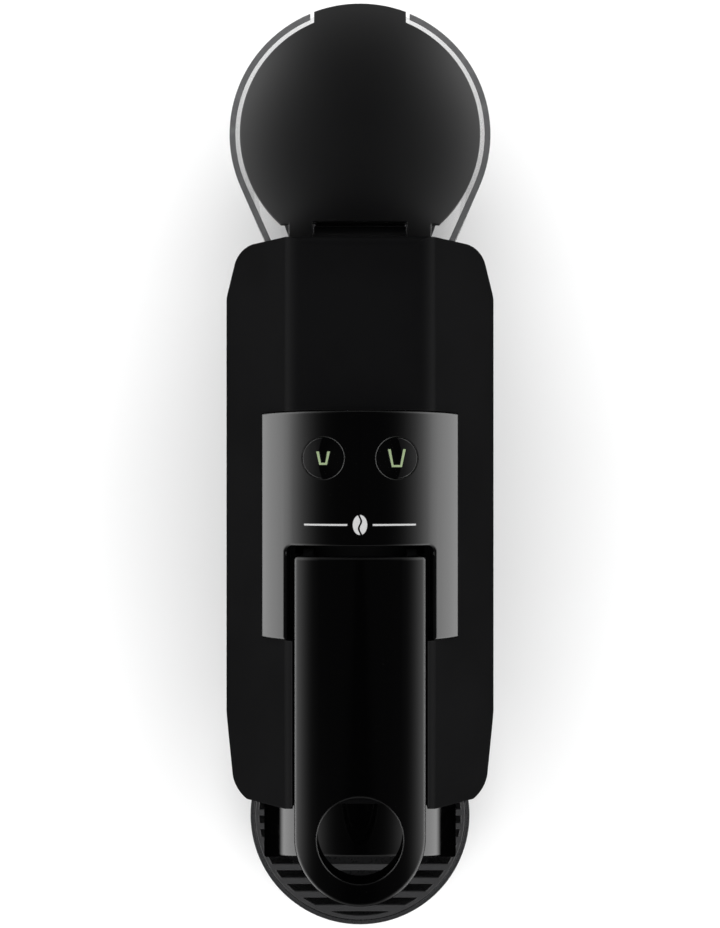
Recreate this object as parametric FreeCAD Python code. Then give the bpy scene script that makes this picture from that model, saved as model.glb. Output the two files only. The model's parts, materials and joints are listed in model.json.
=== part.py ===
"""Compact pod coffee machine: faceted body, round water tank behind, round drip tray in front.

Millimetres, +Z up, +Y to the rear (tank), -Y to the front (cup side), +X to the right.
The origin lies on the standing surface, below the middle of the overall length.
Each function makes one removable piece, and main() writes one STEP file per piece.
"""
import FreeCAD
import Part
import math
import os
from FreeCAD import Vector

# ---- driving sizes of the whole machine ------------------------------------------------
body_width = 84.0
body_length = 168.6
tank_reach = 81.4            # body's rear face to the rear of the tank
tray_reach = 75.0            # body's front face to the front of the tray
deck_height = 199.0          # top facet of the shell
shoulder_height = 164.0      # widest line of the shell
head_height = 128.0          # underside of the overhanging head
facet_width = 40.0           # flat top facet of the shell
shell_wall = 2.2
front_lean = 3.5             # how far the front face leans out down to the head's underside
neck_setback = 21.6          # the cup recess, behind the front face

# ---- lengthwise stations ---------------------------------------------------------------
overall_length = body_length + tank_reach + tray_reach
rear_y = overall_length / 2
front_y = -overall_length / 2
body_rear = rear_y - tank_reach
body_front = front_y + tray_reach
neck_y = body_front + neck_setback
half_width = body_width / 2
shoulder_front = body_front - front_lean * (deck_height - shoulder_height) / (deck_height - head_height)
facet_half = facet_width / 2

# ---- common fits -----------------------------------------------------------------------
seam_gap = 0.25              # between fixed trim pieces
slide_gap = 0.4              # between pieces that slide past each other
pin_gap = 0.05               # radial, a pin turning in its bore
screw_radius = 1.45

# ---- base ------------------------------------------------------------------------------
foot_radius = 6.0
base_under = 2.0
base_top = 5.0
foot_height = 3.0
foot_inset_x = 12.0
rib_height = 4.0
rib_wall = 1.8

# ---- shell outline ---------------------------------------------------------------------
flank_rear_run = 15.4        # length of the slanted flank behind the straight side
flank_rear_in = 4.5
flank_front_run = 26.4
flank_front_in = 3.1
foot_draft = 1.0

# ---- lever -----------------------------------------------------------------------------
arch_top = 204.0             # crown line of lever and control panel
arch_radius = 38.0           # the control panel's crown, side to side
lever_crown_radius = 60.0    # the lever's middle is flatter
lever_flat_half = 12.2       # half width of that middle
lever_side_radius = 21.0     # the lever's crown towards both edges
lever_edge_round = 1.2
lever_corner_round = 1.2
lever_width = 38.6
lever_wall = 2.0
lever_rear_y = -12.9
ring_center_y = -95.3        # centre of the finger ring at the lever's free end
finger_radius = 12.6
finger_relief_half = 9.3     # shallow hollow in the hood's front edge behind the finger hole
finger_relief_depth = 0.6
lever_under = 190.0
ring_under = 194.5
trough_gap = 0.6             # lever to the shell's trough, each side
pivot_y = lever_rear_y - 17.0
pivot_z = arch_top - 12.0
axle_radius = 2.5
arm_thickness = 3.0
crank_radius = 20.0

# ---- control panel ---------------------------------------------------------------------
panel_width = 58.6
panel_rear_y = 29.7
panel_bow = 0.4              # the rear edge curves forward towards its ends
panel_front_y = -37.7
panel_thickness = 3.0
panel_edge_round = 0.7
panel_skirt_z = 183.0
notch_gap_side = 2.2
notch_gap_rear = 3.0
button_radius = 5.95
button_offset = 10.76
button_y = 15.8
button_gap = 0.2

# ---- brewing chamber -------------------------------------------------------------------
brew_z = 153.0
capsule_plane_y = -35.0      # where the closed chamber meets
cage_radius = 19.0
cage_length = 30.0
ear_thickness = 3.0
plate_radius = 18.4
plate_thickness = 8.0
carriage_thickness = 6.0
rail_gap = 0.6               # rails to the cage between them
rail_wall = 1.6
rail_low = 168.0
rail_high = 181.6
frame_wall = 1.8
frame_top = 182.0
frame_low = 134.0
capsule_half_width = 18.7
capsule_slot_length = 26.0

# ---- mains cord ------------------------------------------------------------------------
cord_bore = 3.5
cord_inlet_z = 9.0

# ---- water tank ------------------------------------------------------------------------
tank_radius = 42.0
tank_wall = 1.9
tank_gap = 3.0               # tank's flat front to the body's rear face
tank_front_half = 29.8       # half width of the tank's flat front
tank_top = 150.0
plinth_radius = 32.0         # the tank overhangs its plinth, so only the tank shows from above
plinth_half = 27.0
plinth_top = 19.5
tank_floor_gap = 0.4         # the tank hangs this far above the plinth's top
dock_line_z = 13.0           # height of the hose from the tank's dock
lid_gap = 1.45
lid_neck_half = 22.9
lid_tab_half = 14.8
lid_crown = 8.0              # rise of the lid's dome over its radius
lid_flat_reach = 29.0        # lid's centre to its flat edge towards the body
lid_rim_height = 1.0         # the dome's edge above the tank's rim
hinge_barrel_radius = 3.5
hinge_pin_radius = 1.5

# ---- drip tray and capsule container ---------------------------------------------------
tray_radius = 42.0
tray_height = 45.0
tray_wall = 1.5
tray_step = 1.6              # width of the ledge that carries the grid
grid_rim = 1.5
tray_rear_half = 33.6        # half width where the tray meets the neck
grid_thickness = 2.2
bar_pitch = 5.24
bar_width = 2.3
bin_half = 32.2
bin_wall = 1.8
bin_rear_y = -12.0
bin_top = 110.0
bin_door_top = 113.6          # the container's front face, and 0.4 below the shell's opening
pan_wall = 1.6

# ---- nose and spout --------------------------------------------------------------------
nose_half = 32.0             # also the radius of its arched top
nose_reach = 21.9            # in front of the body's front face
nose_top = 160.5
nose_bottom = 120.0
nose_front_round = 1.0
nose_lean = 9.5              # its front face leans out towards the bottom
nose_wall = 2.0
nozzle_radius = 6.0
nozzle_bore = 3.4
nozzle_low = 114.2

tank_center_y = rear_y - tank_radius - 0.3
tray_center_y = front_y + tray_radius
tank_front_y = body_rear + tank_gap
cord_wall_y = tank_center_y + plinth_radius
finger_relief_z = lever_under - 5.0
lever_half = lever_width / 2
trough_half = lever_half + trough_gap
arch_axis_z = arch_top - arch_radius
lever_axis_z = arch_top - lever_crown_radius
lever_flat_share = lever_flat_half / lever_crown_radius
lever_side_x = lever_flat_half - lever_side_radius * lever_flat_share
lever_side_z = lever_axis_z + (lever_crown_radius - lever_side_radius) * math.sqrt(1 - lever_flat_share ** 2)
arm_outer_x = lever_half - lever_wall - 0.1
arm_inner_x = arm_outer_x - arm_thickness
ear_outer_x = arm_inner_x - slide_gap
ear_inner_x = ear_outer_x - ear_thickness
rail_inner = max(cage_radius + rail_gap, lever_half + slide_gap)
notch_half = lever_half + notch_gap_side
notch_rear_y = lever_rear_y + notch_gap_rear
slot_rear_y = capsule_plane_y - 2.0
slot_front_y = slot_rear_y - capsule_slot_length
crank_offset = crank_radius / math.sqrt(2.0)
frame_inner = rail_inner + rail_wall + slide_gap
bulkhead_rear_y = capsule_plane_y + cage_length + 5.0
bulkhead_front_y = body_front + 7.5
bulkhead_thickness = 2.5
hinge_y = tank_front_y + 3.4
hinge_z = tank_top - 3.0


# ---- drawing helpers -------------------------------------------------------------------
def rounded_wire(points, place):
    """A closed wire through (a, b) points; a third number rounds that corner."""
    count = len(points)
    starts, ends, middles = [], [], []
    for i in range(count):
        here = Vector(points[i][0], points[i][1], 0)
        radius = points[i][2] if len(points[i]) > 2 else 0.0
        if radius == 0.0:
            starts.append(here)
            ends.append(here)
            middles.append(None)
            continue
        before = Vector(points[i - 1][0], points[i - 1][1], 0)
        after = Vector(points[(i + 1) % count][0], points[(i + 1) % count][1], 0)
        to_before = (before - here).normalize()
        to_after = (after - here).normalize()
        half_angle = to_before.getAngle(to_after) / 2
        reach = radius / math.tan(half_angle)
        bisector = (to_before + to_after).normalize()
        center = here + bisector * (radius / math.sin(half_angle))
        starts.append(here + to_before * reach)
        ends.append(here + to_after * reach)
        middles.append(center - bisector * radius)
    edges = []
    for i in range(count):
        if middles[i] is not None:
            edges.append(Part.Arc(place(starts[i]), place(middles[i]), place(ends[i])).toShape())
        following = starts[(i + 1) % count]
        if (following - ends[i]).Length > 1e-6:
            edges.append(Part.LineSegment(place(ends[i]), place(following)).toShape())
    return Part.Wire(edges)


def inset_wire(wire, inset):
    """The wire moved inwards; sharp corners stay sharp."""
    return wire.makeOffset2D(-inset, 2) if inset else wire


def plan_wire(points, z=0.0):
    return rounded_wire(points, lambda p: Vector(p.x, p.y, z))


def plan_prism(points, low, high, inset=0.0):
    wire = inset_wire(plan_wire(points, low), inset)
    return Part.Face(wire).extrude(Vector(0, 0, high - low))


def front_prism(points, near, far, inset=0.0):
    """An outline of (x, z) points, extruded along Y."""
    wire = inset_wire(rounded_wire(points, lambda p: Vector(p.x, near, p.y)), inset)
    return Part.Face(wire).extrude(Vector(0, far - near, 0))


def side_prism(points, left, right, inset=0.0):
    """An outline of (y, z) points, extruded along X."""
    wire = inset_wire(rounded_wire(points, lambda p: Vector(left, p.x, p.y)), inset)
    return Part.Face(wire).extrude(Vector(right - left, 0, 0))


def block(x0, x1, y0, y1, z0, z1):
    return Part.makeBox(x1 - x0, y1 - y0, z1 - z0, Vector(x0, y0, z0))


def centred_block(half, y0, y1, z0, z1):
    return block(-half, half, y0, y1, z0, z1)


def post(x, y, low, high, radius):
    return Part.makeCylinder(radius, high - low, Vector(x, y, low))


def rod_x(x0, x1, y, z, radius):
    return Part.makeCylinder(radius, x1 - x0, Vector(x0, y, z), Vector(1, 0, 0))


def rod_y(x, y0, y1, z, radius):
    return Part.makeCylinder(radius, y1 - y0, Vector(x, y0, z), Vector(0, 1, 0))


def mirrored(shape):
    return shape.mirror(Vector(0, 0, 0), Vector(1, 0, 0))


def on_both_sides(shape):
    return Part.makeCompound([shape, mirrored(shape)])


def both_sides(right_half):
    """A full outline from its right half, listed from the rear to the front."""
    left_half = [(-p[0],) + tuple(p[1:]) for p in reversed(right_half)]
    return right_half + left_half


def united(shapes):
    return shapes[0].fuse(shapes[1:]).removeSplitter()


def without(shape, cutters):
    return shape.cut(cutters)


def round_edges(shape, radius, chosen):
    """Round the edges whose bounding box and middle point the test accepts."""
    edges = [edge for edge in shape.Edges if chosen(edge)]
    return shape.makeFillet(radius, edges)


def middle_of(edge):
    return edge.valueAt((edge.FirstParameter + edge.LastParameter) / 2)


def hose(points, radius, bore, bend):
    """A tube along straight runs joined by arcs, as far as the runs leave room."""
    edges = []
    start = points[0]
    for i in range(1, len(points) - 1):
        here = points[i]
        to_before = (points[i - 1] - here).normalize()
        to_after = (points[i + 1] - here).normalize()
        half_angle = to_before.getAngle(to_after) / 2
        reach = bend / math.tan(half_angle)
        bisector = (to_before + to_after).normalize()
        arc_middle = here + bisector * (bend / math.sin(half_angle) - bend)
        arc_start = here + to_before * reach
        arc_end = here + to_after * reach
        edges.append(Part.LineSegment(start, arc_start).toShape())
        edges.append(Part.Arc(arc_start, arc_middle, arc_end).toShape())
        start = arc_end
    edges.append(Part.LineSegment(start, points[-1]).toShape())
    path = Part.Wire(edges)
    direction = points[1] - points[0]

    def swept(section_radius):
        circle = Part.Wire(Part.Circle(points[0], direction, section_radius).toShape())
        return path.makePipeShell([circle], True, False)

    return swept(radius).cut(swept(bore))


# ---- shared outlines -------------------------------------------------------------------
def body_plan():
    return both_sides([
        (half_width - flank_rear_in, body_rear, 7.0),
        (half_width, body_rear - flank_rear_run, 6.0),
        (half_width, shoulder_front + flank_front_run, 6.0),
        (half_width - flank_front_in, shoulder_front, 8.0),
    ])


def body_section(floor):
    return [
        (half_width - foot_draft, floor),
        (half_width, shoulder_height, 6.0),
        (facet_half, deck_height, 8.0),
        (-facet_half, deck_height, 8.0),
        (-half_width, shoulder_height, 6.0),
        (foot_draft - half_width, floor),
    ]


def body_profile(floor):
    return [
        (body_rear, floor),
        (body_rear, deck_height, 3.0),
        (body_front, deck_height, 4.0),
        (body_front - front_lean, head_height, 4.0),
        (neck_y, head_height, 3.0),
        (neck_y, floor),
    ]


def body_form(inset=0.0, floor=base_top):
    """The faceted body: what plan, front section and side profile have in common."""
    reach = overall_length
    plan = plan_prism(body_plan(), floor - 1, deck_height + 1, inset)
    section = front_prism(body_section(floor - inset), -reach, reach, inset)
    profile = side_prism(body_profile(floor - inset), -reach, reach, inset)
    return plan.common(section).common(profile)


def keyhole_plan(center_y, radius, flat_half, flat_y, inset=0.0):
    """A round outline whose sides close in, along tangents, to a flat edge towards the body."""
    side = 1.0 if flat_y > center_y else -1.0
    distance = abs(flat_y - center_y)
    reach = math.hypot(flat_half, distance)
    angle = math.atan2(distance, flat_half) - math.acos(radius / reach)
    r = radius - inset
    touch_x = r * math.cos(angle)
    touch_y = center_y + side * r * math.sin(angle)
    flat = flat_y - side * inset
    half = touch_x - abs(flat - touch_y) * math.tan(angle)
    far = Vector(0, center_y - side * r, 0)
    touches = [Vector(touch_x, touch_y, 0), far, Vector(-touch_x, touch_y, 0)]
    return touches + [Vector(-half, flat, 0), Vector(half, flat, 0)]


def keyhole_prism(outline, low, high):
    right, far, left, flat_left, flat_right = [p + Vector(0, 0, low) for p in outline]
    edges = [
        Part.Arc(right, far, left).toShape(),
        Part.LineSegment(left, flat_left).toShape(),
        Part.LineSegment(flat_left, flat_right).toShape(),
        Part.LineSegment(flat_right, right).toShape(),
    ]
    return Part.Face(Part.Wire(edges)).extrude(Vector(0, 0, high - low))


def tank_prism(low, high, inset=0.0):
    outline = keyhole_plan(tank_center_y, tank_radius, tank_front_half, tank_front_y, inset)
    return keyhole_prism(outline, low, high)


def tray_prism(low, high, inset=0.0):
    outline = keyhole_plan(tray_center_y, tray_radius, tray_rear_half, neck_y - 1.1, inset)
    return keyhole_prism(outline, low, high)


def arch_prism(radius, y0, y1):
    """The crowned form that lever and panel share, a cylinder lying along Y."""
    return rod_y(0, y0, y1, arch_axis_z, radius)


def crown_prism(inset):
    """The lever's crown, extruded along Y: flatter in the middle, rounder towards both sides."""
    middle = lever_crown_radius - inset
    side = lever_side_radius - inset
    start_angle = math.asin(lever_flat_share)
    end_angle = math.asin((lever_half + 1 - lever_side_x) / side)

    def side_point(angle):
        return Vector(lever_side_x + side * math.sin(angle), front_y, lever_side_z + side * math.cos(angle))

    start = side_point(start_angle)
    halfway = side_point((start_angle + end_angle) / 2)
    end = side_point(end_angle)
    foot = Vector(end.x, front_y, lever_under - 10)
    left = [Vector(-p.x, p.y, p.z) for p in (start, halfway, end, foot)]
    edges = [
        Part.Arc(left[0], Vector(0, front_y, lever_axis_z + middle), start).toShape(),
        Part.Arc(start, halfway, end).toShape(),
        Part.LineSegment(end, foot).toShape(),
        Part.LineSegment(foot, left[3]).toShape(),
        Part.LineSegment(left[3], left[2]).toShape(),
        Part.Arc(left[2], left[1], left[0]).toShape(),
    ]
    return Part.Face(Part.Wire(edges)).extrude(Vector(0, overall_length, 0))


def on_panel_crown(edge):
    """Whether an edge lies on the control panel's crowned surface."""
    middle = middle_of(edge)
    return abs(math.hypot(middle.x, middle.z - arch_axis_z) - arch_radius) < 0.01


def on_lever_rim(edge):
    """Whether an edge bounds the lever's crowned surface, not a seam inside it."""
    middle = middle_of(edge)
    along_seam = edge.BoundBox.XLength < 0.01 and abs(abs(middle.x) - lever_flat_half) < 0.01
    if abs(middle.x) < lever_flat_half:
        gap = math.hypot(middle.x, middle.z - lever_axis_z) - lever_crown_radius
    else:
        gap = math.hypot(abs(middle.x) - lever_side_x, middle.z - lever_side_z) - lever_side_radius
    return abs(gap) < 0.01 and not along_seam


def panel_footprint(low, high, grow=0.0):
    """The control panel seen from above, without its notch."""
    half = panel_width / 2 + grow
    rear = panel_rear_y + grow
    front = panel_front_y - grow
    side_rear = rear - panel_bow
    corners = [Vector(half, side_rear, low), Vector(0, rear, low), Vector(-half, side_rear, low),
               Vector(-half, front, low), Vector(half, front, low)]
    edges = [
        Part.Arc(corners[0], corners[1], corners[2]).toShape(),
        Part.LineSegment(corners[2], corners[3]).toShape(),
        Part.LineSegment(corners[3], corners[4]).toShape(),
        Part.LineSegment(corners[4], corners[0]).toShape(),
    ]
    return Part.Face(Part.Wire(edges)).extrude(Vector(0, 0, high - low))


def panel_notch(low, high, grow=0.0):
    """The gap around the lever's rear end."""
    points = [(notch_half - grow, panel_front_y - 5), (notch_half - grow, notch_rear_y - grow, 2.0),
              (grow - notch_half, notch_rear_y - grow, 2.0), (grow - notch_half, panel_front_y - 5)]
    return plan_prism(points, low, high)


def lever_plan(low, high, inset=0.0):
    """Straight sides and a half-round free end."""
    half = lever_half - inset
    rear = lever_rear_y - inset
    corner = max(lever_corner_round - inset, 0.0)
    bar_points = [(half, rear, corner), (-half, rear, corner), (-half, ring_center_y), (half, ring_center_y)]
    bar = plan_prism(bar_points, low, high)
    return united([bar, post(0, ring_center_y, low, high, half)])


def lever_under_profile():
    """Side outline of everything above the lever's underside."""
    tip_y = ring_center_y - lever_half
    return [(lever_rear_y + 1, lever_under), (lever_rear_y + 1, arch_top + 1),
            (tip_y - 1, arch_top + 1), (tip_y - 1, ring_under), (body_front + 2, lever_under)]


# ---- casing ----------------------------------------------------------------------------
def main_shell():
    """One-piece matt hood with sloping facets, open below."""
    shell = body_form().cut(body_form(shell_wall, base_top))
    below = 175.0
    cutters = [
        panel_footprint(below, arch_top + 5, seam_gap),
        centred_block(trough_half, body_front - 12, panel_front_y + 1, lever_under - 1.5, arch_top + 5),
        centred_block(bin_half + 2.6, neck_y - 5, neck_y + shell_wall + 1, base_top - 1,
                      bin_door_top + slide_gap),
        centred_block(10.0, body_front - front_lean - 3, body_front + 4, head_height + shell_wall + 0.1, 146.0),
        centred_block(30.0, body_rear - shell_wall - 1, body_rear + 1, 9.0, 150.0),
        centred_block(finger_relief_half, body_front - 1, body_front + finger_relief_depth, finger_relief_z, arch_top),
    ]
    inner_y = body_rear - shell_wall
    right_places = [(x, z) for x, z in cover_screw_places() if x > 0]
    bosses = [block(x - 3.2, x + 8.0, inner_y - 6, inner_y, z - 3.2, z + 3.2) for x, z in right_places]
    bosses = united([shell.cut(cutters)] + bosses + [mirrored(boss) for boss in bosses])
    pilots = [rod_y(x, inner_y - 5.5, inner_y + 1, z, screw_radius) for x, z in cover_screw_places()]
    return bosses.cut(pilots)


def cover_screw_places():
    return [(x, z) for x in (-25.0, 25.0) for z in (28.0, 60.0)]


def rear_cover():
    """Plate that closes the shell's back behind the tank, with cooling slots."""
    half = 30.0 - seam_gap
    plate = centred_block(half, body_rear - shell_wall, body_rear - 0.3, 9.0 + seam_gap, 150.0 - seam_gap)
    pan = centred_block(half - 4, body_rear - 8, body_rear - shell_wall + 0.1, 70.0, 140.0)
    pan_inside = centred_block(half - 5.6, body_rear - 6.4, body_rear + 1, 71.6, 138.4)
    cover = united([plate, pan]).cut(pan_inside)
    slot_levels = (80, 88, 96, 104, 112, 120, 128)
    slots = [centred_block(16.0, body_rear - 12, body_rear - 5, z, z + 2.4) for z in slot_levels]
    hose_hole = rod_y(0, body_rear - 6, body_rear + 2, dock_line_z, 4.2)
    screws = [rod_y(x, body_rear - 6, body_rear + 2, z, 1.7) for x, z in cover_screw_places()]
    return cover.cut(slots + [hose_hole] + screws)


def base_plate():
    """Bottom tray of the machine with the tank's plinth, rails, pump cradles and posts."""
    behind_neck = block(-body_width, body_width, neck_y, rear_y, 0, deck_height)
    floor_points = body_plan()
    floor = plan_prism(floor_points, base_under, base_top, foot_draft).common(behind_neck)
    clear = shell_wall + foot_draft + seam_gap
    inside = block(-body_width, body_width, neck_y + 8, body_rear, 0, deck_height)
    rib_outer = plan_prism(floor_points, base_top - 0.5, base_top + rib_height, clear).common(inside)
    rib_inner = plan_prism(floor_points, base_top - 1, base_top + rib_height + 1, clear + rib_wall)
    rib = rib_outer.cut(rib_inner)
    plinth = plinth_prism(base_under, plinth_top)
    link = centred_block(24.0, body_rear - 4, body_rear + 6, base_under, base_top)
    hollow = plinth_prism(base_under - 1, plinth_top - 2.5, shell_wall)
    rail_x = bin_half + pan_wall + 0.9
    rail_front_y = neck_y + shell_wall + 0.3
    rails = on_both_sides(block(rail_x, rail_x + 1.4, rail_front_y, bin_rear_y + 20, base_top - 0.5, base_top + 6))
    cradles = [centred_block(18.5, y + 0.4, y + 3.6, base_top - 0.5, 50.0) for y in (16.0, 58.0)]
    board_posts = [block(32.6, 37.0, y, y + 3, base_top - 0.5, 40.0 - seam_gap) for y in (12.0, 56.0)]
    flow_post = post(26.0, 41.0, base_top - 0.5, 14.0 - seam_gap, 7.0)
    plate = united([floor, rib, plinth.cut(hollow), link, rails, flow_post] + cradles + board_posts)
    cutters = [rod_y(0, 10, 66, 52.0, 14.0 + 0.1)]
    cutters += [post(x, y, base_under - 1, base_under + 1, foot_radius + 0.1) for x, y in foot_places()]
    cutters.append(post(0, dock_y(), plinth_top - 5, plinth_top + 1, 11.0 + 0.1))
    cutters.append(rod_y(0, body_rear - 1, body_rear + 12, dock_line_z, 3.8))
    cutters.append(rod_y(0, cord_wall_y - 6.5, rear_y + 2, cord_inlet_z, 5.6))
    cutters += [post(x, y, base_under - 1, base_top + 1, 1.7) for x, y in base_screw_places()]
    return plate.cut(cutters)


def plinth_prism(low, high, inset=0.0):
    """Round plinth with a straight neck to the body."""
    neck = centred_block(plinth_half - inset, body_rear + seam_gap + inset, tank_center_y, low, high)
    return united([post(0, tank_center_y, low, high, plinth_radius - inset), neck])


def foot_places():
    x = half_width - foot_inset_x
    return [(x, neck_y + 9), (-x, neck_y + 9), (x, body_rear - 12), (-x, body_rear - 12)]


def base_screw_places():
    x = half_width - foot_draft - 8.0
    return [(x, 24.0), (-x, 24.0)]


def rubber_feet():
    return Part.makeCompound([post(x, y, 0, foot_height, foot_radius) for x, y in foot_places()])


def tank_foot():
    """Ring-shaped foot under the tank's plinth, pressed up into its hollow."""
    y = tank_center_y + 20.0
    stem = post(0, y, 0, plinth_top - 2.5 - seam_gap, 5.0)
    return stem.cut(post(0, y, -1, 6, 2.5))


def screw(x, y, z, direction, length, head_radius=2.9, head_height_mm=1.6):
    """Pan-head screw: the head sits at (x, y, z) and the shank runs along direction."""
    place = Vector(x, y, z)
    back = direction * -1
    shank = Part.makeCylinder(screw_radius, length, place, direction)
    head = Part.makeCylinder(head_radius, head_height_mm, place, back)
    drive = Part.makeCylinder(1.1, 1.0, place + back * head_height_mm, direction)
    return shank.fuse(head).cut(drive)


def base_screws():
    up = Vector(0, 0, 1)
    return Part.makeCompound([screw(x, y, base_under, up, 9.0, 2.9, 1.3) for x, y in base_screw_places()])


def cover_screws():
    inwards = Vector(0, -1, 0)
    return Part.makeCompound([screw(x, body_rear - 0.3, z, inwards, 6.5) for x, z in cover_screw_places()])


# ---- lever, its arms and axle ----------------------------------------------------------
def lever_shell():
    """Gloss lever: crowned, with a finger ring at the free end."""
    outer = lever_plan(lever_under - 1, arch_top + 1).common(crown_prism(0.0))
    outer = outer.common(side_prism(lever_under_profile(), -lever_half - 1, lever_half + 1))
    outer = round_edges(outer, lever_edge_round, on_lever_rim)
    hollow = lever_plan(lever_under - 5, arch_top, lever_wall)
    hollow = hollow.common(crown_prism(2.2))
    hollow = hollow.cut(post(0, ring_center_y, lever_under - 6, arch_top + 1, finger_radius + 1.8))
    rear_opening = centred_block(lever_half - lever_wall, lever_rear_y - 6, lever_rear_y + 2,
                                 lever_under - 2, 198.0)
    finger_hole = post(0, ring_center_y, lever_under - 5, arch_top + 2, finger_radius)
    bosses = [post(x, y, lever_under + 1.9, 202.0, 3.0) for x, y in lever_screw_places()]
    pilots = [post(x, y, lever_under, lever_under + 8.5, screw_radius) for x, y in lever_screw_places()]
    return united([outer.cut([hollow, rear_opening])] + bosses).cut([finger_hole] + pilots)


def lever_liner():
    """Matt cover that closes the lever's underside."""
    cover = lever_plan(lever_under - 5, arch_top, lever_wall + 0.15)
    tip_y = ring_center_y - lever_half
    band = [(pivot_y - 16, lever_under), (pivot_y - 16, lever_under + 1.8),
            (body_front + 2, lever_under + 1.8),
            (tip_y - 1, ring_under + 1.8), (tip_y - 1, ring_under), (body_front + 2, lever_under)]
    cover = cover.common(side_prism(band, -lever_half, lever_half))
    cutters = [post(0, ring_center_y, lever_under - 6, arch_top, finger_radius + 1.95)]
    for x, y in lever_screw_places():
        cutters.append(post(x, y, lever_under - 2, arch_top, 1.6))
        cutters.append(post(x, y, lever_under - 2, lever_under + 0.9, 2.6))
    return cover.cut(cutters)


def lever_screw_places():
    return [(-8.0, -64.0), (8.0, -64.0)]


def crank_pin_place():
    """The crank pin with the lever closed: behind and below the pivot."""
    return pivot_y + crank_offset, pivot_z - crank_offset


def lever_arm(side):
    """Moulded arm inside the lever: axle eye, strip screwed to the lever, crank and drive pin."""
    outer_x = arm_outer_x
    inner_x = arm_inner_x
    pin_y, pin_z = crank_pin_place()
    eye = rod_x(inner_x, outer_x, pivot_y, pivot_z, 5.2)
    pin_eye = rod_x(inner_x, outer_x, pin_y, pin_z, 4.0)
    offset = Vector(0, pin_y - pivot_y, pin_z - pivot_z).normalize()
    normal = Vector(0, -offset.z, offset.y)
    corners = [Vector(inner_x, pivot_y, pivot_z) + normal * 4.5, Vector(inner_x, pin_y, pin_z) + normal * 3.6,
               Vector(inner_x, pin_y, pin_z) - normal * 3.6, Vector(inner_x, pivot_y, pivot_z) - normal * 4.5]
    web = Part.Face(Part.makePolygon(corners + corners[:1])).extrude(Vector(arm_thickness, 0, 0))
    strip = block(inner_x, outer_x, pivot_y - 30, pivot_y, lever_under + 2.2, 196.4)
    drive_pin = rod_x(outer_x - 0.5, rail_inner + rail_wall - 0.2, pin_y, pin_z, axle_radius)
    arm = united([eye, pin_eye, web, strip, drive_pin])
    arm = arm.cut([rod_x(inner_x - 1, outer_x + 1, pivot_y, pivot_z, axle_radius + 0.02)])
    return arm if side > 0 else mirrored(arm)


def lever_axle():
    reach = lever_half - lever_wall - 0.3
    return rod_x(-reach, reach, pivot_y, pivot_z, axle_radius)


def lever_screws():
    """Two screws that fix the liner to the lever."""
    up = Vector(0, 0, 1)
    screws = [screw(x, y, lever_under + 0.9, up, 7.0, 2.4, 0.8) for x, y in lever_screw_places()]
    return Part.makeCompound(screws)


# ---- control panel ---------------------------------------------------------------------
def control_panel():
    """Gloss saddle around the lever's rear end, with two button holes."""
    outer = panel_footprint(panel_skirt_z, arch_top + 1).common(arch_prism(arch_radius, front_y, rear_y))
    outer = outer.cut(panel_notch(panel_skirt_z - 1, arch_top + 2))
    outer = round_edges(outer, panel_edge_round, on_panel_crown)
    wall = 1.8
    hollow = panel_footprint(panel_skirt_z - 1, arch_top, -wall)
    hollow = hollow.common(arch_prism(arch_radius - panel_thickness, front_y, rear_y))
    collar = panel_notch(panel_skirt_z - 1, arch_top, -wall)
    low_collar = centred_block(notch_half, panel_front_y - 1, notch_rear_y + 6, panel_skirt_z - 1, arch_top)
    beside_notch = hollow.cut(collar)
    over_swing = low_collar.common(arch_prism(arch_radius - panel_thickness, front_y, rear_y))
    panel = outer.cut([beside_notch, over_swing])
    holes = [post(x, button_y, 170, arch_top + 5, button_radius + button_gap) for x in button_xs()]
    return panel.cut(holes)


def button_xs():
    return (-button_offset, button_offset)


def push_button(x):
    """Round key with a dished face that follows the panel's crown, a flange and a stem."""
    crown = arch_prism(arch_radius, front_y, rear_y)
    cap = post(x, button_y, 193.4, arch_top + 1, button_radius).common(crown)
    surface_z = arch_axis_z + math.sqrt(arch_radius ** 2 - x ** 2)
    dish_radius = 45.0
    dish = Part.makeSphere(dish_radius, Vector(x, button_y, surface_z - 0.45 + dish_radius))
    flange = post(x, button_y, 193.4, 195.0, button_radius + 1.0)
    stem = post(x, button_y, 189.3, 194.0, 2.0)
    inside = post(x, button_y, 195.2, surface_z - 2.2, button_radius - 1.3)
    return united([cap, flange, stem]).cut([dish, inside, icon_outline(x, 3.0)])


def icon_outline(x, depth):
    """Open-topped cup drawn as one thin line; the right-hand cup is the larger."""
    large = x > 0
    height = 5.2 if large else 3.9
    top_half = 2.6 if large else 2.0
    bottom_half = 1.45 if large else 1.1
    stroke = 0.6
    low = button_y - height / 2
    high = button_y + height / 2
    outer = [(x + top_half, high), (x - top_half, high), (x - bottom_half, low), (x + bottom_half, low)]
    lean = (top_half - bottom_half) / height
    inner_low = low + stroke
    inner_bottom = bottom_half - stroke + lean * stroke
    inner_top = top_half - stroke
    inner = [(x + inner_top, high + 1), (x - inner_top, high + 1),
             (x - inner_bottom, inner_low), (x + inner_bottom, inner_low)]
    surface_z = arch_axis_z + math.sqrt(arch_radius ** 2 - x ** 2)
    low_z = surface_z - depth
    return plan_prism(outer, low_z, arch_top + 2).cut(plan_prism(inner, low_z - 1, arch_top + 3))


def button_icon(x):
    """Light guide let into the key, flush with its dished face."""
    surface_z = arch_axis_z + math.sqrt(arch_radius ** 2 - x ** 2)
    dish_radius = 45.0
    dish = Part.makeSphere(dish_radius, Vector(x, button_y, surface_z - 0.47 + dish_radius))
    guide = icon_outline(x, 2.9)
    return guide.cut(dish)


def panel_carrier():
    """Plate below the panel that carries the button board."""
    half = panel_width / 2 - 0.5
    plate = centred_block(half, bulkhead_rear_y + 0.3, panel_rear_y - 2.0, 180.4, panel_skirt_z - seam_gap)
    window = centred_block(9.0, 6.0, 24.0, 179, 184)
    return plate.cut(window)


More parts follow.
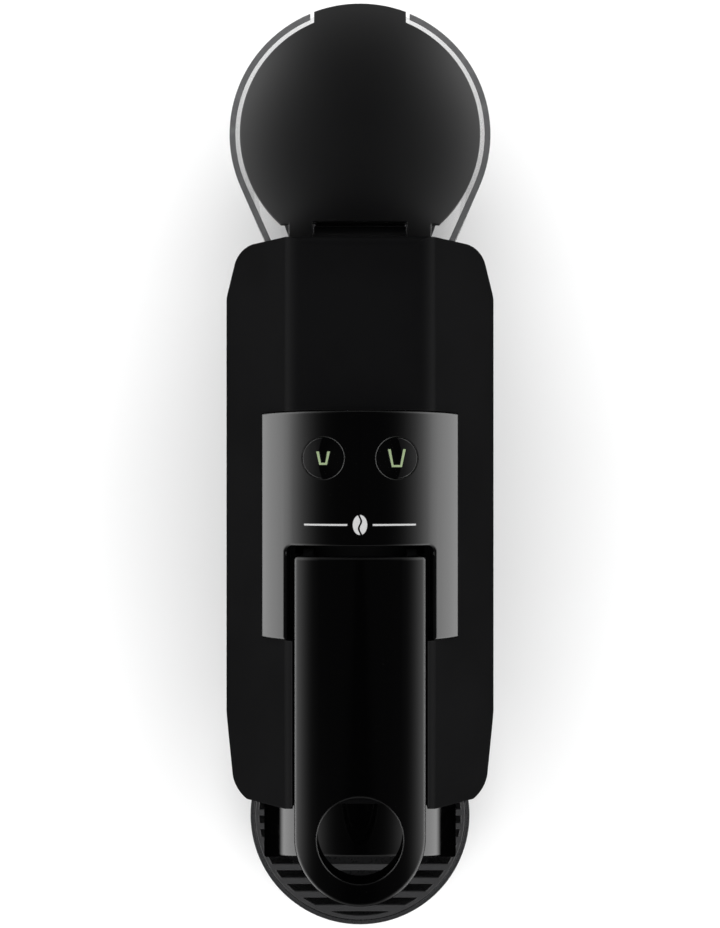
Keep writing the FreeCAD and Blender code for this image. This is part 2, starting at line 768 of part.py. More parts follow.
def button_board():
    board = centred_block(22.0, 5.0, 26.5, 183.1, 184.7)
    return board.cut([post(x, 24.0, 182, 186, 1.2) for x in (-18, 18)])


def button_switches():
    """Two tactile switches and two light-emitting diodes on the button board."""
    pieces = []
    for x in button_xs():
        body = block(x - 3, x + 3, button_y - 3, button_y + 3, 184.7, 187.6)
        pieces.append(body.fuse(post(x, button_y, 187.5, 188.4, 1.6)))
        pieces.append(block(x - 1, x + 1, button_y + 4.4, button_y + 6.4, 184.7, 185.9))
    return Part.makeCompound(pieces)


# ---- brewing chamber -------------------------------------------------------------------
def capsule_guide():
    """Floor of the lever's trough with the capsule slot."""
    half = trough_half + 1.4
    front = bulkhead_front_y - 2.0
    rear = panel_front_y - 0.3
    floor = centred_block(half + 3, front, rear, frame_top + slide_gap, 184.6)
    walls = on_both_sides(block(trough_half, half, front, rear, 184.0, 196.4))
    slot = centred_block(capsule_half_width, slot_front_y, rear + 1, 180, 186)
    guide = united([floor] + walls.Solids).cut(slot)
    return guide.common(body_form(shell_wall + 0.3))


def frame_section():
    return body_section(110.0)


def brew_frame():
    """Two bulkheads that fit the shell, joined by two side walls that guide the carriage."""
    clear = shell_wall + 0.4
    band = block(-body_width, body_width, front_y, rear_y, 112.0, frame_top)
    section = front_prism(frame_section(), bulkhead_rear_y - bulkhead_thickness, bulkhead_rear_y, clear)
    rear = section.common(band)
    front_band = block(-body_width, body_width, front_y, rear_y, head_height + shell_wall + 0.4, frame_top)
    front = front_prism(frame_section(), bulkhead_front_y, bulkhead_front_y + 2.0, clear).common(front_band)
    front = front.common(plan_prism(body_plan(), 0, deck_height, clear))
    wall = block(frame_inner, frame_inner + frame_wall, bulkhead_front_y + 1, bulkhead_rear_y - 1,
                 frame_low, frame_top)
    frame = united([rear, front] + on_both_sides(wall).Solids)
    cutters = [
        centred_block(10.0, bulkhead_front_y - 1, bulkhead_front_y + 3, head_height, 146.0),
        rod_y(0, bulkhead_rear_y - 5, bulkhead_rear_y + 1, brew_z, 7.0),
        centred_block(frame_inner, bulkhead_front_y - 1, bulkhead_front_y + 3, 172.0, frame_top + 1),
    ]
    return frame.cut(cutters)


def capsule_cage():
    """Fixed half of the chamber: a cup for the capsule, with the two ears that carry the axle."""
    front = capsule_plane_y
    rear = bulkhead_rear_y - bulkhead_thickness - 0.3
    cup = rod_y(0, front, rear, brew_z, cage_radius)
    bowl = Part.makeCone(16.8, 12.5, cage_length - 7, Vector(0, front - 0.01, brew_z), Vector(0, 1, 0))
    needle_seat = rod_y(0, front + cage_length - 7.5, rear - 4.5, brew_z, 10.5)
    bore = rod_y(0, rear - 6, rear + 1, brew_z, 4.0)
    ears = []
    for side in (-1, 1):
        x0, x1 = sorted((side * ear_inner_x, side * ear_outer_x))
        ear = block(x0, x1, pivot_y - 5, pivot_y + 5, brew_z + 10, pivot_z)
        ears.append(ear.fuse(rod_x(x0, x1, pivot_y, pivot_z, 5.0)))
    cage = united([cup] + ears)
    axle_bore = rod_x(-20, 20, pivot_y, pivot_z, axle_radius + pin_gap)
    return cage.cut([bowl, needle_seat, bore, axle_bore])


def piercing_needles():
    """Disc with three blades that open the capsule's closed end."""
    rear = bulkhead_rear_y - bulkhead_thickness - 0.3
    face = rear - 4.8
    disc = rod_y(0, face - 2.4, face, brew_z, 10.3)
    blades = []
    for turn in (90, 210, 330):
        angle = math.radians(turn)
        x = 6.0 * math.cos(angle)
        z = brew_z + 6.0 * math.sin(angle)
        blades.append(Part.makeCone(1.3, 0.3, 6.5, Vector(x, face - 2.2, z), Vector(0, -1, 0)))
    return united([disc] + blades).cut(rod_y(0, face - 4, face + 1, brew_z, 1.5))


def injector_head():
    """Hot-water inlet behind the rear bulkhead."""
    flange = rod_y(0, bulkhead_rear_y + 0.2, bulkhead_rear_y + 3.4, brew_z, 11.0)
    neck = rod_y(0, bulkhead_rear_y + 3, bulkhead_rear_y + 9, brew_z, 5.0)
    plug = rod_y(0, bulkhead_rear_y - bulkhead_thickness - 2, bulkhead_rear_y + 1, brew_z, 3.6)
    bore = rod_y(0, bulkhead_rear_y - 6, bulkhead_rear_y + 12, brew_z, 1.2)
    return united([flange, neck, plug]).cut(bore)


def extraction_plate():
    """Disc with small pyramids that tears the capsule's foil and lets the coffee through."""
    back = capsule_plane_y - plate_thickness
    front = capsule_plane_y - slide_gap
    disc = rod_y(0, back, front - 1.2, brew_z, plate_radius)
    pyramids = []
    pitch = 4.4
    steps = range(-3, 4)
    for i in steps:
        for k in steps:
            x = i * pitch
            z = k * pitch
            if math.hypot(x, z) < 13.5:
                foot = Vector(x, front - 1.3, brew_z + z)
                pyramids.append(Part.makeCone(1.6, 0.9, 1.3, foot, Vector(0, 1, 0)))
    channel = rod_y(0, back - 1, front - 3.0, brew_z - 14.0, 2.4)
    return united([disc] + pyramids).cut(channel)


def brew_carriage():
    """Sliding frame: plate holder, two rails with yoke slots for the crank pins, and the drip duct."""
    rear = capsule_plane_y - plate_thickness - 0.2
    front = rear - carriage_thickness
    outer = rail_inner + rail_wall
    holder = centred_block(outer, front, rear, brew_z - 18.4, brew_z + 18.4)
    pin_y, pin_z = crank_pin_place()
    rail = block(rail_inner, outer, front, pin_y + 6.5, rail_low, rail_high)
    slot_half = axle_radius + 0.9
    slot = block(rail_inner - 1, outer + 1, pin_y - slot_half, pin_y + slot_half,
                 rail_low + 1.2, rail_high - 0.9)
    duct_length = 19.0
    duct = centred_block(5.5, front - duct_length, front + 1, brew_z - 17.0, brew_z - 10.5)
    duct_inside = centred_block(4.0, front - duct_length - 1, front - 1.5, brew_z - 15.8, brew_z - 9)
    bore = rod_y(0, front - 3, rear + 1, brew_z - 14.0, 2.4)
    bands = ((-8, 3), (5.5, 15.5))
    recess = [centred_block(16.0, front - 1, front + 3.5, brew_z + low, brew_z + high) for low, high in bands]
    rails = on_both_sides(rail).Solids
    slots = on_both_sides(slot).Solids
    return united([holder, duct] + rails).cut(slots + [duct_inside, bore] + recess)


def coffee_spout():
    """Open channel in the head that leads the coffee forward to the nozzle."""
    low = head_height + shell_wall + 0.4
    nozzle_y = body_front - 11.0
    channel = centred_block(8.0, nozzle_y - 8, slot_front_y - 1.0, low, low + 3.4)
    inside = centred_block(6.6, nozzle_y - 6.6, slot_front_y - 2.4, low + 1.3, low + 6)
    nozzle = post(0, nozzle_y, nozzle_low, low + 1, nozzle_radius)
    bore = post(0, nozzle_y, nozzle_low - 1, low + 3, nozzle_bore)
    return united([channel, nozzle]).cut([inside, bore])


def nose_cover():
    """Gloss housing of the coffee outlet: an arch from side to side, in front of the head."""
    front = body_front - nose_reach - nose_lean
    back = body_front + 4
    axis_z = nose_top - nose_half

    def form(inset, floor):
        arch = rod_y(0, front - 2, back, axis_z, nose_half - inset)
        sides = centred_block(nose_half - inset, front - 2, back, floor, axis_z)
        high = nose_top + 2
        lean = nose_lean * (high - floor) / (nose_top - nose_bottom)
        top_front = front + nose_lean + inset
        profile = [(back, floor), (back, high), (top_front, high), (top_front - lean, floor)]
        return united([arch, sides]).common(side_prism(profile, -nose_half - 1, nose_half + 1))

    def front_rim(edge):
        box = edge.BoundBox
        return box.YMax < front + nose_lean + 1.0 and box.ZMax > nose_bottom + 1

    outer = round_edges(form(0.0, nose_bottom), nose_front_round, front_rim)
    cover = outer.cut([form(nose_wall, nose_bottom + nose_wall), body_form()])
    cover = cover.cut(centred_block(nose_half + 1, body_front - 1, back + 1, nose_bottom - 5, nose_top + 4))
    nozzle_y = body_front - 11.0
    return cover.cut([post(0, nozzle_y, nose_bottom - 2, nose_bottom + 4, nozzle_radius + 0.4)])


# ---- tray module -----------------------------------------------------------------------
def drip_tray():
    """Round basin in front, with a low pan behind it that carries the capsule container."""
    basin = tray_prism(base_under, tray_height)
    rest_z = tray_height - grid_thickness - 0.2
    upper = tray_prism(rest_z, tray_height + 1, tray_wall)
    lower = tray_prism(base_under + 2.0, rest_z + 1, tray_wall + tray_step)
    pan_half = bin_half + slide_gap + pan_wall
    pan_low = base_top + slide_gap
    pan = centred_block(pan_half, neck_y - 2.5, bin_rear_y + slide_gap + pan_wall, pan_low, 24.0)
    pan_inside = centred_block(pan_half - pan_wall, neck_y, bin_rear_y + slide_gap, pan_low + 1.8, 25.0)
    rounded = round_edges(
        basin, 1.2, lambda e: e.BoundBox.ZMax < base_under + 0.01 and middle_of(e).y < neck_y - 2)
    return united([rounded.cut([upper, lower]), pan.cut(pan_inside).cut(lower)])


def drip_grid():
    """Round grid of straight bars that lies on the tray's ledge."""
    low = tray_height - grid_thickness
    rim_inset = tray_wall + 0.3
    field = tray_prism(low, tray_height, rim_inset)
    rim = field.cut(tray_prism(low - 1, tray_height + 1, rim_inset + grid_rim))
    first = tray_center_y + 0.9
    bars = []
    count = int((tray_radius * 2) / bar_pitch)
    for k in range(-count // 2, count // 2 + 1):
        y = first + k * bar_pitch
        bar = centred_block(tray_radius, y - bar_width / 2, y + bar_width / 2, low, tray_height)
        if y + bar_width / 2 < neck_y - 1.1 and y - bar_width / 2 > front_y:
            bars.append(bar.common(field))
    return united([rim] + bars)


def capsule_container():
    """Box for used capsules; its front face closes the recess behind the cup."""
    low = base_top + slide_gap + 1.8 + 0.1
    face_half = bin_half + 2.3
    box = centred_block(bin_half, neck_y + 0.2, bin_rear_y, low, bin_top)
    inside = centred_block(bin_half - bin_wall, neck_y + 2.4, bin_rear_y - bin_wall, low + bin_wall, bin_top + 1)
    face = centred_block(face_half, neck_y + 0.1, neck_y + 2.1, tray_height + 1.0, bin_door_top)
    drain = [centred_block(14.0, y, y + 2.0, low - 1, low + 3) for y in (-50, -44, -38, -32, -26)]
    return united([box, face]).cut([inside] + drain)


# ---- tank ------------------------------------------------------------------------------
def dock_y():
    return tank_center_y - 14.0


def water_tank():
    """Clear tank, open above; the rim is cut out for the lid's tab and its hinge neck."""
    floor_z = plinth_top + tank_floor_gap
    outer = tank_prism(floor_z, tank_top)
    outer = round_edges(outer, 2.0, lambda e: e.BoundBox.ZMax < floor_z + 0.01)
    inside = tank_prism(floor_z + 2.5, tank_top + 1, tank_wall)
    tab_gap = 1.2
    cutters = [
        inside,
        centred_block(lid_tab_half + tab_gap, tank_center_y + tank_radius - 12, rear_y + 5,
                      tank_top - 5.4, tank_top + 1),
        centred_block(lid_neck_half + 0.5, tank_front_y - 1, tank_front_y + 8, hinge_z - 5.0, tank_top + 1),
        post(0, dock_y(), floor_z - 1, floor_z + 4, 6.2),
    ]
    return outer.cut(cutters)


def hinge_block():
    """Black block on the tank's front wall with the hinge barrel between the lid's arms."""
    half = lid_tab_half
    barrel = rod_x(-half, half, hinge_y, hinge_z, hinge_barrel_radius)
    saddle = centred_block(half, tank_front_y + 0.2, hinge_y, hinge_z - 4.6, hinge_z + hinge_barrel_radius)
    hook = centred_block(half, tank_front_y + tank_wall + 0.2, hinge_y + 2.2, hinge_z - 16, hinge_z)
    flap = centred_block(half, hinge_y, hinge_y + 5.2, hinge_z - 4.75, hinge_z - 4.3)
    bore = rod_x(-half - 1, half + 1, hinge_y, hinge_z, hinge_pin_radius + pin_gap)
    return united([barrel, saddle, hook, flap]).cut(bore)


def lid_hinge_pin():
    return rod_x(-lid_neck_half + 0.6, lid_neck_half - 0.6, hinge_y, hinge_z, hinge_pin_radius)


def tank_lid():
    """Crowned lid with a lifting tab behind and two hinge arms in front."""
    radius = tank_radius - tank_wall - lid_gap
    low = tank_top - 2.6
    high = tank_top + lid_rim_height + lid_crown
    flat_y = tank_center_y - lid_flat_reach
    disc = post(0, tank_center_y, low, high + 1, radius)
    disc = disc.cut(centred_block(tank_radius, tank_center_y - tank_radius, flat_y, low - 1, high + 2))
    tab_ring = post(0, tank_center_y, low - 2.4, high + 1, tank_radius + 0.3)
    tab = tab_ring.common(centred_block(lid_tab_half, tank_center_y + radius - 7, rear_y + 5, low - 2.4, high + 2))
    arms = on_both_sides(
        block(lid_tab_half + 0.4, lid_neck_half, tank_front_y + 0.3, flat_y + 3, low, high + 1))
    knuckles = on_both_sides(rod_x(lid_tab_half + 0.4, lid_neck_half, hinge_y, hinge_z, 3.1))
    lip = post(0, tank_center_y, low - 4.5, low + 1, radius - 1.6)
    lip = lip.cut(post(0, tank_center_y, low - 6, low + 2, radius - 3.2))
    lip = lip.common(centred_block(tank_radius, flat_y + 5, tank_center_y + radius - 10, low - 6, high))
    lid = united([disc, tab, lip] + arms.Solids + knuckles.Solids)
    crown_radius = (radius ** 2 + lid_crown ** 2) / (2 * lid_crown)
    crown = Part.makeSphere(crown_radius, Vector(0, tank_center_y, high - crown_radius))
    lid = lid.common(crown)
    barrel_rear = hinge_y + hinge_barrel_radius + 0.6
    barrel_room = centred_block(lid_tab_half + 0.4, tank_front_y - 1, barrel_rear, low - 8, high + 3)
    pin_bore = rod_x(-tank_radius, tank_radius, hinge_y, hinge_z, hinge_pin_radius + pin_gap)
    return lid.cut([barrel_room, pin_bore])


def valve_body():
    """Outlet valve in the tank's floor; its skirt drops into the dock."""
    floor_z = plinth_top + tank_floor_gap
    y = dock_y()
    skirt = post(0, y, plinth_top - 3.5, floor_z + 8, 6.0)
    flange = post(0, y, floor_z + 2.7, floor_z + 4.6, 8.6)
    inside = post(0, y, plinth_top - 1.5, floor_z + 9, 4.6)
    seat = post(0, y, plinth_top - 5, plinth_top + 1, 2.6)
    return united([skirt, flange]).cut([inside, seat])


def valve_plunger():
    y = dock_y()
    stem = post(0, y, plinth_top - 2.9, plinth_top + 8.5, 1.5)
    disc = post(0, y, plinth_top - 1.1, plinth_top + 0.4, 3.9)
    return stem.fuse(disc).removeSplitter()


def dock_seal():
    """Rubber ring in the dock that closes around the tank's valve."""
    y = dock_y()
    return post(0, y, plinth_top - 3.0, plinth_top - 1.0, 7.2).cut(post(0, y, 0, plinth_top, 6.3))


def dock_socket():
    """Socket in the plinth that receives the tank's valve."""
    y = dock_y()
    cup = post(0, y, 9.0, plinth_top + 0.3, 10.9)
    inside = post(0, y, plinth_top - 4.2, plinth_top + 2, 7.2)
    well = post(0, y, 11.0, plinth_top - 3, 3.2)
    nipple = rod_y(0, y - 15, y - 8, dock_line_z, 2.9)
    passage = rod_y(0, y - 16, y, dock_line_z, 1.4)
    return united([cup, nipple]).cut([inside, well, passage])


# ---- water path and electrics ----------------------------------------------------------
def flow_meter():
    """Round housing with a paddle chamber and two hose nipples."""
    x, y, low, high = 26.0, 41.0, 14.0, 27.0
    housing = post(x, y, low, high, 10.0)
    nipples = [rod_y(x, y + 8, y + 15, 20.5, 2.9), rod_y(x, y - 15, y - 8, 20.5, 2.9)]
    chamber = post(x, y, low + 2.5, high - 2.5, 8.0)
    bore = post(x, y, low + 1.2, high - 1.2, 1.2 + pin_gap)
    passages = [rod_y(x, y - 16, y + 16, 20.5, 1.4)]
    return united([housing] + nipples).cut([chamber, bore] + passages)


def flow_rotor():
    x, y, low = 26.0, 41.0, 14.0
    spindle = post(x, y, low + 1.5, low + 11.5, 1.2)
    hub = post(x, y, low + 3.0, low + 10.0, 2.2)
    paddles = [block(x - 7.2, x + 7.2, y - 0.5, y + 0.5, low + 3.4, low + 9.6),
               block(x - 0.5, x + 0.5, y - 7.2, y + 7.2, low + 3.4, low + 9.6)]
    return united([spindle, hub] + paddles)


def pump_body():
    """Vibration pump lying along the machine, outlet to the front."""
    z = 52.0
    tube = rod_y(0, 22, 56, z, 11.0)
    ends = [rod_y(0, 14, 23, z, 9.0), rod_y(0, 55, 64, z, 9.0)]
    nipples = [rod_y(0, 6, 15, z, 2.6), rod_y(0, 63, 68, z, 2.6)]
    return united([tube] + ends + nipples).cut(rod_y(0, 0, 80, z, 1.2))


def pump_coil():
    z = 52.0
    coil = round_edges(block(-18, 18, 26, 52, z - 17, z + 17), 3.0, lambda e: e.BoundBox.YLength > 20)
    return coil.cut(rod_y(0, 20, 60, z, 11.1))


def pump_mounts():
    """Rubber rings that hold the pump's ends in their cradles."""
    z = 52.0
    rings = []
    for y in (16.0, 58.0):
        ring = rod_y(0, y, y + 4, z, 15.5).cut(rod_y(0, y - 1, y + 5, z, 9.1))
        groove = rod_y(0, y + 0.3, y + 3.7, z, 17.0).cut(rod_y(0, y, y + 4, z, 14.0))
        rings.append(ring.cut(groove))
    return Part.makeCompound(rings)


def thermoblock():
    """Cast heater block with fins, carried on the rear bulkhead by four lugs."""
    near = bulkhead_rear_y + 9.0
    far = near + 26.0
    core = centred_block(25.0, near, far, 94.0, 136.0)
    lugs = []
    for x in (-20, 20):
        for z in (118.0, 130.0):
            lugs.append(rod_y(x, bulkhead_rear_y + 0.3, near + 1, z, 3.2))
    fins = [centred_block(26.0, far - 7, far + 1, z, z + 3.0) for z in (98, 104, 110, 116, 122, 128)]
    nipples = [post(-18.0, near + 8, 88.0, 95.0, 2.8), post(16.0, near + 8, 135.0, 141.0, 2.8)]
    bores = [post(-18.0, near + 8, 87.0, 115.0, 1.2), post(16.0, near + 8, 115.0, 142.0, 1.2)]
    return united([core] + lugs + nipples).cut(fins + bores)


def heater_terminals():
    near = bulkhead_rear_y + 9.0
    blades = []
    for x in (-22.0, -12.0):
        sleeve = post(x, near + 18, 136.0, 139.0, 3.0)
        blades.append(sleeve.fuse(block(x - 0.4, x + 0.4, near + 15, near + 21, 138.5, 146.0)))
    return Part.makeCompound(blades)


def thermostats():
    """Two cut-out discs clamped on the heater block's right side."""
    near = bulkhead_rear_y + 9.0
    discs = []
    for z in (104.0, 124.0):
        disc = rod_x(25.0, 30.0, near + 9, z, 7.0)
        tags = block(29.5, 32.0, near + 4, near + 14, z - 1.5, z + 1.5)
        discs.append(disc.fuse(tags))
    return Part.makeCompound(discs)


def inlet_hose():
    y = dock_y() - 13.0
    bend_y = body_rear - 10
    points = [Vector(0, y, dock_line_z), Vector(0, bend_y, dock_line_z),
              Vector(26, bend_y, 20.5), Vector(26, 53.5, 20.5)]
    return hose(points, 3.6, 2.95, 7.0)


def feed_hose():
    points = [Vector(26, 29.0, 20.5), Vector(26, 8, 20.5), Vector(26, 8, 34.0), Vector(26, 74, 40.0),
              Vector(0, 74, 52), Vector(0, 65.5, 52)]
    return hose(points, 3.6, 2.95, 4.2)


def pressure_hose():
    near = bulkhead_rear_y + 9.0
    points = [Vector(0, 9, 52), Vector(0, -3, 52), Vector(0, -3, 78), Vector(-18, near + 8, 80),
              Vector(-18, near + 8, 91)]
    return hose(points, 3.6, 2.85, 4.6)


def brew_hose():
    near = bulkhead_rear_y + 9.0
    points = [Vector(16, near + 8, 138.5), Vector(16, near + 8, 153), Vector(0, near + 8, 153),
              Vector(0, bulkhead_rear_y + 6.5, 153)]
    return hose(points, 6.2, 5.05, 6.5)


def main_board():
    """Control board, upright at the right-hand side of the pump."""
    board = block(34.0, 35.6, 8.0, 62.0, 40.0, 88.0)
    return board.cut([rod_x(33, 37, y, 84.0, 1.6) for y in (12.0, 58.0)])


def board_components():
    """Relay, capacitor, triac, transformer and plug block on the control board."""
    face = 34.0
    relay = block(face - 12, face, 12, 30, 72, 86)
    capacitor = rod_x(face - 11, face, 38, 78, 5.5)
    triac = block(face - 4.5, face, 48, 58, 66, 82)
    transformer = block(face - 11, face, 14, 30, 46, 62)
    plug = block(face - 8, face, 36, 56, 44, 52)
    return Part.makeCompound([relay, capacitor, triac, transformer, plug])


def cord_inlet():
    """Bush in the plinth's rear wall where the mains cord enters."""
    sleeve = rod_y(0, cord_wall_y - 5.0, cord_wall_y + 0.6, cord_inlet_z, 5.5)
    flange = rod_y(0, cord_wall_y - 6.5, cord_wall_y - 3.2, cord_inlet_z, 6.6)
    return united([sleeve, flange]).cut(rod_y(0, cord_wall_y - 8, cord_wall_y + 3, cord_inlet_z, cord_bore))


PIECES = {
    "main_shell": main_shell,
    "rear_cover": rear_cover,
    "base_plate": base_plate,
    "rubber_feet": rubber_feet,
    "tank_foot": tank_foot,
    "base_screws": base_screws,
    "cover_screws": cover_screws,
    "lever_shell": lever_shell,
    "lever_liner": lever_liner,
    "lever_arm_right": lambda: lever_arm(1),
    "lever_arm_left": lambda: lever_arm(-1),
    "lever_axle": lever_axle,
    "lever_screws": lever_screws,
    "control_panel": control_panel,
    "espresso_button": lambda: push_button(-button_offset),
    "espresso_icon": lambda: button_icon(-button_offset),
    "lungo_button": lambda: push_button(button_offset),
    "lungo_icon": lambda: button_icon(button_offset),
    "panel_carrier": panel_carrier,
    "button_board": button_board,
    "button_switches": button_switches,
    "capsule_guide": capsule_guide,
    "brew_frame": brew_frame,
    "capsule_cage": capsule_cage,
    "piercing_needles": piercing_needles,
    "injector_head": injector_head,
    "extraction_plate": extraction_plate,
    "brew_carriage": brew_carriage,
    "coffee_spout": coffee_spout,
    "nose_cover": nose_cover,
    "drip_tray": drip_tray,
    "drip_grid": drip_grid,
    "capsule_container": capsule_container,
    "water_tank": water_tank,
    "hinge_block": hinge_block,
    "lid_hinge_pin": lid_hinge_pin,
    "tank_lid": tank_lid,
    "valve_body": valve_body,
    "valve_plunger": valve_plunger,
    "dock_socket": dock_socket,
    "dock_seal": dock_seal,
    "flow_meter": flow_meter,
    "flow_rotor": flow_rotor,
    "pump_body": pump_body,
    "pump_coil": pump_coil,
    "pump_mounts": pump_mounts,
    "thermoblock": thermoblock,
    "heater_terminals": heater_terminals,
    "thermostats": thermostats,
    "inlet_hose": inlet_hose,
    "feed_hose": feed_hose,
    "pressure_hose": pressure_hose,
    "brew_hose": brew_hose,
    "main_board": main_board,
    "board_components": board_components,
    "cord_inlet": cord_inlet,
}


def main():
    os.makedirs("parts", exist_ok=True)
    for name, make in PIECES.items():
        shape = make()
        solids = shape.Solids
        print(name, "solids", len(solids), "valid", shape.isValid(), "volume %.0f" % shape.Volume, flush=True)
        shape.exportStep("parts/" + name + ".step")


if __name__ == "__main__":
    main()
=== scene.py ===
"""Looks of the pod coffee machine: finishes, the panel's printed emblem, light and camera.

Metres, in the model's own frame: +Z up, +Y to the water tank, +X to the right.
"""
import json
import math

import bpy
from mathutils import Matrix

MM = 0.001
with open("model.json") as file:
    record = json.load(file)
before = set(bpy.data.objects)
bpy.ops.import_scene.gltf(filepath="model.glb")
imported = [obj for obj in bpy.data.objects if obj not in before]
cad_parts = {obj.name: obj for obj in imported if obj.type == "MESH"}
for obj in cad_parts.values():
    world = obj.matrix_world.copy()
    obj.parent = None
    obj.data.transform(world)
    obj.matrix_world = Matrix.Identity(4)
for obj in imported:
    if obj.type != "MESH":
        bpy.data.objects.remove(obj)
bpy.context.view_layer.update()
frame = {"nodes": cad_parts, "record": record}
nodes = frame["nodes"]
slot_of = {part["node"]: part["material_slot"] for part in frame["record"]["subparts"]}
slot_of["brew_carriage"] = "inner_black"     # it shows in the gap beside the lever


# ---- material tools --------------------------------------------------------------------
class Value:
    """A number or colour inside a finish. Arithmetic on it adds Math nodes."""

    def __init__(self, finish, socket):
        self.finish = finish
        self.socket = socket

    def math(self, operation, first, second=0.0):
        return self.finish.node("ShaderNodeMath", {"operation": operation}, {0: first, 1: second})

    def __add__(self, other):
        return self.math("ADD", self, other)

    def __radd__(self, other):
        return self.math("ADD", other, self)

    def __sub__(self, other):
        return self.math("SUBTRACT", self, other)

    def __rsub__(self, other):
        return self.math("SUBTRACT", other, self)

    def __mul__(self, other):
        return self.math("MULTIPLY", self, other)

    def __truediv__(self, other):
        return self.math("DIVIDE", self, other)

    def __pow__(self, other):
        return self.math("POWER", self, other)

    def between(self, low, high):
        """0 below low, 1 above high, smooth in between."""
        values = {"Value": self, "From Min": low, "From Max": high}
        return self.finish.node("ShaderNodeMapRange", {"interpolation_type": "SMOOTHSTEP"}, values)

    def part(self, axis):
        """One component of a vector."""
        return self.finish.node("ShaderNodeSeparateXYZ", {}, {"Vector": self}, axis)

    def size(self):
        """The number without its sign."""
        return self.math("ABSOLUTE", self)


class Finish:
    """One material, or the studio's surroundings, under construction."""

    def __init__(self, name, owner=None):
        self.material = owner or bpy.data.materials.new(name)
        self.material.use_nodes = True
        self.tree = self.material.node_tree
        self.tree.nodes.clear()
        self.place = self.node("ShaderNodeTexCoord", {}, {}, "Generated" if owner else "Object")

    def node(self, kind, settings, values, output=0):
        """Adds a node: settings first, then its sockets' values or links; returns one output."""
        made = self.tree.nodes.new(kind)
        for name, setting in settings.items():
            if name == "stops":
                self.set_stops(made.color_ramp, setting)
            else:
                setattr(made, name, setting)
        for name, value in values.items():
            if isinstance(value, Value):
                self.tree.links.new(value.socket, made.inputs[name])
            else:
                made.inputs[name].default_value = value
        return Value(self, made.outputs[output]) if made.outputs else None

    def set_stops(self, ramp, stops):
        while len(ramp.elements) > len(stops):
            ramp.elements.remove(ramp.elements[-1])
        while len(ramp.elements) < len(stops):
            ramp.elements.new(1.0)
        for element, (place, color) in zip(ramp.elements, stops):
            element.position = place
            element.color = color

    def noise(self, size_mm, detail=3.0, roughness=0.5, stretch=None):
        """Cloudy pattern, 0 to 1, with patches of about the given size."""
        place = self.place
        if stretch:
            place = self.node("ShaderNodeVectorMath", {"operation": "MULTIPLY"}, {0: place, 1: stretch})
        values = {"Vector": place, "Scale": 1.0 / (size_mm * MM), "Detail": detail, "Roughness": roughness}
        return self.node("ShaderNodeTexNoise", {}, values)

    def cells(self, size_mm):
        """Distance to the nearest of many scattered points, in cells of about the given size."""
        values = {"Vector": self.place, "Scale": 1.0 / (size_mm * MM)}
        return self.node("ShaderNodeTexVoronoi", {}, values, "Distance")

    def mix(self, factor, first, second):
        """A colour between two colours."""
        return self.node("ShaderNodeMix", {"data_type": "RGBA"}, {0: factor, 6: first, 7: second}, 2)

    def bump(self, height, depth_mm, strength=1.0, normal=None):
        """Normal from a height pattern that is depth_mm deep."""
        values = {"Height": height, "Distance": depth_mm * MM, "Strength": strength}
        if normal is not None:
            values["Normal"] = normal
        return self.node("ShaderNodeBump", {}, values)

    def soft_edges(self, radius_mm):
        """Normal that rounds the solid's sharp edges."""
        return self.node("ShaderNodeBevel", {"samples": 4}, {"Radius": radius_mm * MM})

    def edge_mask(self, radius_mm):
        """1 on outer and inner edges, 0 on the faces between them."""
        rounded = self.soft_edges(radius_mm)
        flat = self.node("ShaderNodeNewGeometry", {}, {}, "Normal")
        dot = {"operation": "DOT_PRODUCT"}
        same = self.node("ShaderNodeVectorMath", dot, {0: rounded, 1: flat}, "Value")
        return (1 - same).between(0.01, 0.2)

    def surface(self, **values):
        """Principled surface; names are its sockets with underscores for spaces."""
        sockets = {name.replace("_", " "): value for name, value in values.items()}
        shader = self.node("ShaderNodeBsdfPrincipled", {}, sockets)
        self.node("ShaderNodeOutputMaterial", {}, {"Surface": shader})
        return self.material


def rgb(red, green, blue):
    return (red, green, blue, 1.0)


def grey(level):
    return rgb(level, level, level)


# ---- finishes --------------------------------------------------------------------------
GLOSS_BLACK = (0.0005, 0.0005, 0.00055)
GLOSS_HAZE = 0.04            # how much rougher the wiping marks are
GLOSS_LEVEL = 0.52           # strength of the polished plastic's mirror
INK_HAZE = 0.3               # how much rougher the printed ink is
DUST_GREY = 0.05
INK_GREYS = (0.34, 0.44)     # darkest and lightest of the ink
EMBLEM_Y = -3.6              # the printed emblem's middle on the panel, in mm
EMBLEM_BEAN = (2.1, 2.9)     # half width and half height of the bean, in mm
EMBLEM_CREASE_SWING = 0.35   # how far the bean's crease bends to each side, in mm
EMBLEM_CREASE_TURN = 1.5     # how fast it bends
EMBLEM_LINES = (3.7, 16.35)  # start and end of the lines beside the bean, in mm
RIM_PAINTED_SHADE_DEPTH = 4 * MM           # how far down the tank's wall the painted shade at its top edge reaches
CLEAR_GREY = (0.17, 0.17, 0.175)
# painted shade: the darker tint put on the tank wall's top edge
RIM_PAINTED_SHADE_GREY = (0.05, 0.05, 0.052)
CLEAR_COVER = 0.09           # how much of what is behind it the clear wall hides, seen straight on
SLANT_COVER = 0.22           # more of it, seen along the wall
RIM_PAINTED_SHADE_COVER = 0.84             # more of it, at the top edge, as painted shade
FILM_COVER = 0.03            # more of it, where water has dried
TARNISH = (0.5, 0.46, 0.4)


def top_of(part):
    """Height of a piece's highest point."""
    return max(vertex.co.z for vertex in part.data.vertices)


